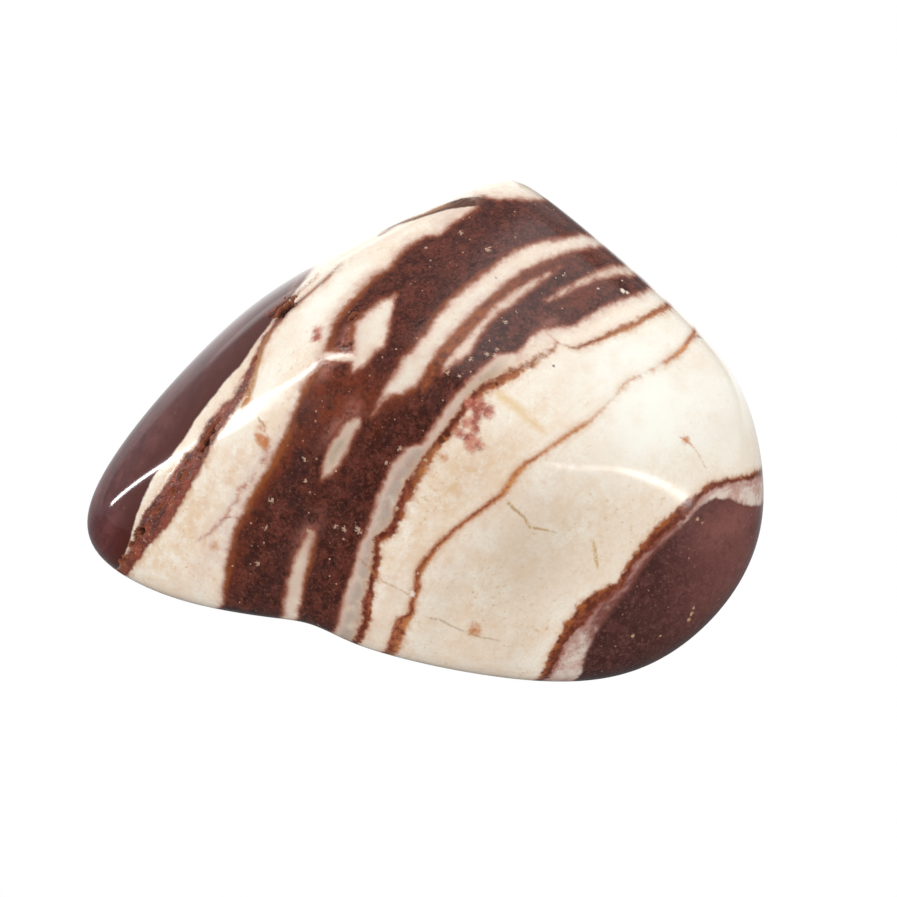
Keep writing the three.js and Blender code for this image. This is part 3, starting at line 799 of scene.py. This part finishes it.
# pale ground
pale = mixed(mapped(swell[0], 0.35, 0.65), "cream", "ivory")
pale = layered(pale, {
    "peachCream": [mapped(cloud[1], 0.45, 0.65), 0.55],
    "sandStreak": [mapped(flow[0], 0.52, 0.75), 0.35],
    "peach": [attribute("peach"), mapped(mottle[0], 0.4, 0.6), 0.9],
    "blush": [attribute("blush"), mapped(curd[2], 0.4, 0.6), 0.6],
    "tanCloud": [mapped(crumb[1], 0.6, 0.72), mapped(swell[1], 0.42, 0.58), 0.6],
    "biscuit": [mapped(sand[1], 0.35, 0.7), 0.4],
    "wheat": [mapped(mottle[2], 0.52, 0.66), 0.35],
    # whiter cream; on the upper right it is a painted highlight
    "chalkAndPaintedHighlight": [attribute("chalkAndPaintedHighlight"), mapped(cloud[2], 0.2, 0.6, 0.6, 0.95)],
    # lilac ground, and at the crest's edge a painted sheen
    "lilac": [attribute("lilac"), mapped(curd[0], 0.2, 0.6), 0.8],
})
greyStrip = times(attribute("greyStrip"), mapped(curd[0], 0.25, 0.6, 0.45, 0.95))
greyTone = mixed(mapped(mottle[0], 0.38, 0.6), "greyDeep", "greyLight")
greyTone = mixed(times(mapped(mottle[1], 0.5, 0.64), 0.6), greyTone, "greyRose")
pale = mixed(greyStrip, pale, greyTone)
# greyish yellow lenses and stripes, and painted shade on the lower front cream
pale = mixed(times(attribute("duskAndPaintedShade"), 0.92), pale, "duskAndPaintedShade")
tanSpeck, tanTone = specks(0.9, 0.09, 0.35)
pale = mixed(times(tanSpeck, tanTone, 0.6), pale, "tanSpeck")
for name in ("thinVein", "jaggedVein", "serratedVein", "pittedVein"):
    stain = times(veinMask(name, ragged, 0.28, 0.16), mapped(mottle[0], 0.35, 0.6, 0.3, 0.75))
    pale = mixed(stain, pale, "veinStain")

# dark bands
edge = plus(attribute("zebra"), finer)
darkBand = mapped(edge, -0.15, 0.12)
dark = mixed(mapped(mottle[0], 0.38, 0.62), "maroonDeep", "maroon")
dark = layered(dark, {
    "maroonCloud": [mapped(cloud[0], 0.42, 0.66), 0.5],
    # painted sheen: greyish lilac laid over the upper dark band
    "mist": [attribute("paintedSheenWash")],
    "rustDust": [mapped(sand[0], 0.5, 0.68), 0.65],
    "blackGrain": [mapped(sand[2], 0.52, 0.66), 0.6],
    "ruddy": [attribute("ruddy"), mapped(mottle[1], 0.3, 0.6), 0.85],
    "rosy": [attribute("rosy"), mapped(mottle[2], 0.35, 0.55)],
})
ochreRim = attribute("ochreRim")
rimReach = plus(0.2, times(ochreRim, 0.3))
rim = mapped(times(edge, calc("DIVIDE", 1.0, rimReach)), 1.3, 0.1)
rim = times(rim, mapped(mottle[2], 0.3, 0.55, 0.5, 1))
rimShade = mixed(ochreRim, "rimBrown", "rimOchre")
dark = mixed(times(rim, 0.9), dark, rimShade)
dark = mixed(times(fineSpeck, fineTone, 0.95), dark, "bandSpeck")
halo = mapped(edge, -0.65, -0.08)
pale = mixed(times(halo, mapped(mottle[1], 0.3, 0.62, 0.3, 0.85)), pale, "halo")
pale = mixed(times(mapped(edge, -0.28, 0.0), 0.75), pale, "bandEdge")
colour = mixed(darkBand, pale, dark)

# caps
capEdge = plus(attribute("rightCap"), finer)
capDark = mixed(mapped(mottle[0], 0.4, 0.62), "capDeep", "cap")
capDark = layered(capDark, {
    "capCloud": [mapped(cloud[2], 0.42, 0.62), 0.55],
    "capDust": [mapped(sand[0], 0.5, 0.68), 0.5],
    "capGrain": [mapped(sand[2], 0.55, 0.68), 0.5],
    # pink flush, partly a painted sheen on the cap's upper part and right edge
    "capFlushAndPaintedSheen": [attribute("capFlushAndPaintedSheen"), mapped(mottle[1], 0.05, 0.55), 0.85],
    "capEdge": [mapped(capEdge, 0.26, 0.02), 0.6],
    "capSpeck": [fineSpeck, fineTone, 0.6],
})
serration = fieldParts("serratedVein")
behindVein = mapped(plus(serration[0], ragged), 0.1, -0.1)
stripPale = mixed(mapped(mottle[1], 0.42, 0.6), "stripCream", "stripRose")
stripDark = mapped(plus(attribute("capStrip"), sway(mottle[2], 1.4)), 0.15, 0.85)
strip = mixed(stripDark, stripPale, "stripDark")
streak = mapped(plus(serration[0], serration[1], ragged), -0.42, -0.18)
streak = times(streak, mapped(flow[1], 0.36, 0.56))
strip = mixed(times(streak, 0.7), strip, "stripStreak")
colour = mixed(times(behindVein, mapped(curd[1], 0.2, 0.5, 0.75, 1)), colour, strip)
colour = mixed(mapped(capEdge, -0.15, 0.14), colour, capDark)
noseEdge = plus(attribute("leftCap"), times(finer, 0.3))
noseDark = mixed(mapped(mottle[0], 0.35, 0.65), "noseDeep", "nose")
noseDark = layered(noseDark, {
    "noseStreak": [mapped(flow[1], 0.4, 0.7), 0.5],
    "noseEdge": [mapped(noseEdge, 1.4, 0.2), 0.85],
    "noseSpeck": [fineSpeck, fineTone, 0.3],
})
colour = mixed(mapped(noseEdge, -0.06, 0.05), colour, noseDark)

# veins and cracks
seam = mixed(mapped(mottle[2], 0.4, 0.6), "seamRust", "seamDeep")
colour = mixed(times(veinMask("rustSeam", finer, 0.16), 0.9), colour, seam)
colour = veinPaint("thinVein", colour, rag=frayed)
colour = veinPaint("jaggedVein", colour)
colour = veinPaint("serratedVein", colour, sunnySide=1)
colour = veinPaint("backVein", colour)
edgeways = fieldParts("crestLine")
umber = mixed(mapped(mottle[1], 0.4, 0.6), "umberDeep", "umber")
umber = layered(umber, {
    "umberStreak": [mapped(flow[2], 0.52, 0.63), 0.75],
    "umberCrumb": [mapped(sand[1], 0.57, 0.66), 0.65],
    "umberEdge": [mapped(fieldParts("pittedVein")[0], -0.1, -0.4), 0.6],
})
colour = mixed(veinMask("pittedVein", times(finer, 0.9), 0.1), colour, umber)
colour = mixed(times(markMask("brownPatch", 0.12, 0.6), 0.9), colour, umber)
golden = times(mapped(edgeways[0], -0.05, 0.06), mapped(edgeways[1], 0.2, 0.1))
crest = veinMask("crestLine", times(finer, 0.3), 0.04)
colour = mixed(crest, colour, mixed(golden, "crestBrown", "crestGold"))
ochre = times(veinMask("ochreEdge", times(finer, 0.5), 0.1), mapped(sand[2], 0.3, 0.5, 0.45, 0.9))
colour = mixed(ochre, colour, "ochre")
broken = mapped(sand[2], 0.36, 0.56, 0.12, 0.8)
rose = mixed(mapped(mottle[1], 0.4, 0.6), "roseLight", "roseDeep")
colour = mixed(times(veinMask("roseSeam", ragged, 0.2), mapped(mottle[2], 0.38, 0.56), 0.85), colour, rose)
for name in ("forkHair", "flankHair", "outerHair"):
    colour = mixed(times(veinMask(name, times(finer, 0.6), 0.08), broken), colour, "hairBrown")
colour = mixed(times(veinMask("yellowStreak", finer, 0.3), 0.62), colour, "yellowStreak")
for name in [name for name in cracks if name != "yellowStreak"]:
    colour = mixed(times(veinMask(name, times(finer, 0.6), 0.09), broken), colour, name)

# marks
colour = mixed(times(markMask("orangeStain", 0.26, 1.2, mottle[1]), 0.85), colour, "orangeStain")
wine = mixed(mapped(mottle[0], 0.4, 0.58), "wineStain", "winePale")
colour = mixed(times(markMask("wineStain", 0.24, 1.1, mottle[2]), 0.9), colour, wine)
colour = layered(colour, {
    "darkDot": [markMask("darkDot", 0.06), 0.85],
    "tanGrain": [markMask("tanGrain", 0.05), 0.85],
    "paleGrain": [markMask("paleGrain", 0.05, 0.6, dust[0]), 0.7],
    "whiteGrain": [markMask("whiteGrain", 0.06)],
})

# pits
pit = plus(attribute("pit"), sway(crumb[0], 0.04))
colour = mixed(mapped(pit, 0.02, 0.1), colour, "pitRim")
colour = mixed(mapped(pit, 0.12, 0.5), colour, "pitFloor")
tree.links.new(colour, shader.inputs["Base Color"])

# polish
inPit = mapped(attribute("pit"), 0.0, 0.02)
inNose = mapped(noseEdge, -0.06, 0.05)
inVein = most(veinMask("pittedVein", finer), crest, inPit)
inDark = most(darkBand, mapped(capEdge, -0.07, 0.07))
rough = plus(polish["roughness"], times(most(inDark, inNose), polish["darkGloss"]),
             times(inDark, mapped(dust[0], 0.3, 0.7, *polish["darkDust"])),
             times(inVein, polish["veinDull"]), times(inPit, polish["pitDull"]))
tree.links.new(rough, shader.inputs["Roughness"])
height = plus(times(darkBand, minus(dust[0], 0.5), polish["bandDust"]),
              times(darkBand, minus(crumb[1], 0.5), polish["bandCrumb"]),
              times(inVein, crumb[0], polish["veinCrumb"]))
bump = newNode("Bump", {"Strength": 1, "Distance": mm, "Height": height})
tree.links.new(bump.outputs["Normal"], shader.inputs["Normal"])
mesh.materials.append(finish)
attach(jasper, "root")
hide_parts(stone["node"])
print("polished, nodes:", len(tree.nodes))

# studio: a pale floor, a soft tent and strip lamps
studio = {
    # the floor to the eye, to dull surfaces, and as the polish shows it: in front, at the side, behind
    "floorSize": 3, "floorGlow": 1.0, "floorSoft": 0.92, "floorSheen": 0.12,
    "nearSheen": 1.1, "farSheen": 0.2, "sideSheen": 1.3, "leftShare": 0.56,
    # the tent to dull surfaces, then as the polish shows it: front, back, a bright side towards that
    # azimuth, a gap and a low patch
    "tentLow": 0.84, "tentHigh": 1.22, "tentLean": 0.14,
    "sheenFront": 0.06, "sheenBack": 0.45, "sheenRoof": 0.4,
    "sheenSide": 0.9, "sideAzimuth": 117, "sideEdge": (0.968, 0.988), "gapDepth": 0.65, "sheenLow": 0.8,
    # from, to: azimuth, elevation; thickness; brightness; whether it lights dull surfaces too
    "lampDistance": 0.5,
    "lamps": {
        "tall strip": ((180, 7), (181.5, 22), 0.034, 26, False),
        "link strip": ((191, 21.5), (171, 26), 0.03, 20, False),
        "rising strip": ((171, 26), (170.5, 33), 0.028, 21, False),
        "leaning strip": ((170.5, 33), (160, 39.5), 0.024, 23, False),
        "short strip": ((160, 39.5), (161.5, 57), 0.019, 16, False),
        "soft strip": ((185, 21), (171, 30), 0.08, 2.2, False),
        "low strip": ((-50, 28), (-34, 5), 0.018, 14, False),
        "low arm": ((-65, 28), (-50, 28.5), 0.012, 9, False),
        "top box": ((12, 62), (72, 62), 0.32, 1.0, True),
    },
}
bpy.ops.mesh.primitive_plane_add(size=studio["floorSize"])
floor = bpy.context.object
floor.name = "floor"
paper = bpy.data.materials.new("white_paper")
tree = nodesOf(paper)
rays = newNode("LightPath").outputs
ground = split(newNode("TexCoord").outputs["Object"])
rightward = most(ground[0], 0.0)
behind = mapped(plus(ground[1], times(rightward, -0.3)), -0.01, 0.02)
leaning = plus(ground[0], times(ground[1], -0.2))
side = mapped(leaning, 0.001, -0.006, studio["farSheen"], studio["sideSheen"])
side = between(side, studio["nearSheen"], mapped(ground[1], 0.052, 0.036))
slant = calc("DIVIDE", ground[0], most(ground[1], 0.001))
side = times(side, mapped(slant, -1.05, -0.45, studio["leftShare"], 1))
sheen = between(studio["floorSheen"], side, behind)
level = plus(sheen, times(rays["Is Diffuse Ray"], minus(studio["floorSoft"], sheen)),
             times(rays["Is Camera Ray"], minus(studio["floorGlow"], sheen)))
glow = newNode("Emission", {"Strength": level})
tree.links.new(glow.outputs[0], tree.nodes["Material Output"].inputs["Surface"])
floor.data.materials.append(paper)
floor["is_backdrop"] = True

world = bpy.context.scene.world or bpy.data.worlds.new("studio")
bpy.context.scene.world = world
tree = nodesOf(world)
sky = split(newNode("TexCoord").outputs["Generated"])
tent = times(mapped(sky[2], 0.0, 0.9, studio["tentLow"], studio["tentHigh"]),
             minus(1, times(sky[0], studio["tentLean"])))
sheen = times(mapped(sky[1], -0.85, -0.3, studio["sheenFront"], studio["sheenBack"]),
              mapped(sky[2], 0.5, 0.9, 1, studio["sheenRoof"]))
sideways = direction(studio["sideAzimuth"], 0)
sideways = plus(times(sky[0], float(sideways[0])), times(sky[1], float(sideways[1])))
sheen = plus(sheen, mapped(sideways, *studio["sideEdge"], 0, studio["sheenSide"]))
gap = times(mapped(sky[2], 0.48, 0.6), mapped(sky[0], -0.3, -0.6))
sheen = times(sheen, minus(1, times(gap, studio["gapDepth"])))
lowBack = times(mapped(sky[2], 0.14, 0.04), mapped(sky[0], 0.2, 0.08), mapped(sky[1], 0.7, 0.9))
sheen = plus(sheen, times(lowBack, studio["sheenLow"]))
level = between(tent, sheen, newNode("LightPath").outputs["Is Glossy Ray"])
tree.links.new(level, tree.nodes["Background"].inputs["Strength"])
tree.nodes["Background"].inputs["Color"].default_value = (1, 1, 1, 1)

for name, (fromWhere, toWhere, thickness, brightness, fills) in studio["lamps"].items():
    start = Vector(direction(*fromWhere)) * studio["lampDistance"]
    end = Vector(direction(*toWhere)) * studio["lampDistance"]
    middle = (start + end) / 2
    light = bpy.data.lights.new(name, "AREA")
    light.shape = "RECTANGLE"
    light.size, light.size_y = (end - start).length, thickness
    light.energy = brightness * math.pi * light.size * light.size_y
    lamp = bpy.data.objects.new(name, light)
    lamp.visible_diffuse = fills
    lamp.location = Vector(heart) + middle
    run, away = (end - start).normalized(), middle.normalized()
    lamp.rotation_euler = Matrix((run, away.cross(run), away)).transposed().to_euler()
    bpy.context.scene.collection.objects.link(lamp)
print("studio lit")

# camera
camera = {
    "distance": 210, "lookUp": 42, "frameWidth": 50.35, "aim": (1.038, -0.477), "sensor": 36, "nearest": 10,
}
rise = math.radians(camera["lookUp"])
right = Vector((1, 0, 0))
up = Vector((0, math.sin(rise), math.cos(rise)))
back = Vector((0, -math.cos(rise), math.sin(rise)))
lens = bpy.data.cameras.new("camera")
lens.sensor_width = camera["sensor"]
lens.lens = camera["sensor"] * camera["distance"] / camera["frameWidth"]
lens.clip_start = camera["nearest"] * mm
eye = bpy.data.objects.new("camera", lens)
aim = right * camera["aim"][0] + up * camera["aim"][1] + back * camera["distance"]
eye.location = Vector(heart) + aim * mm
eye.rotation_euler = Euler((math.radians(90 - camera["lookUp"]), 0, 0))
bpy.context.scene.collection.objects.link(eye)
bpy.context.scene.camera = eye
bpy.context.scene.view_settings.view_transform = "Standard"

low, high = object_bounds()
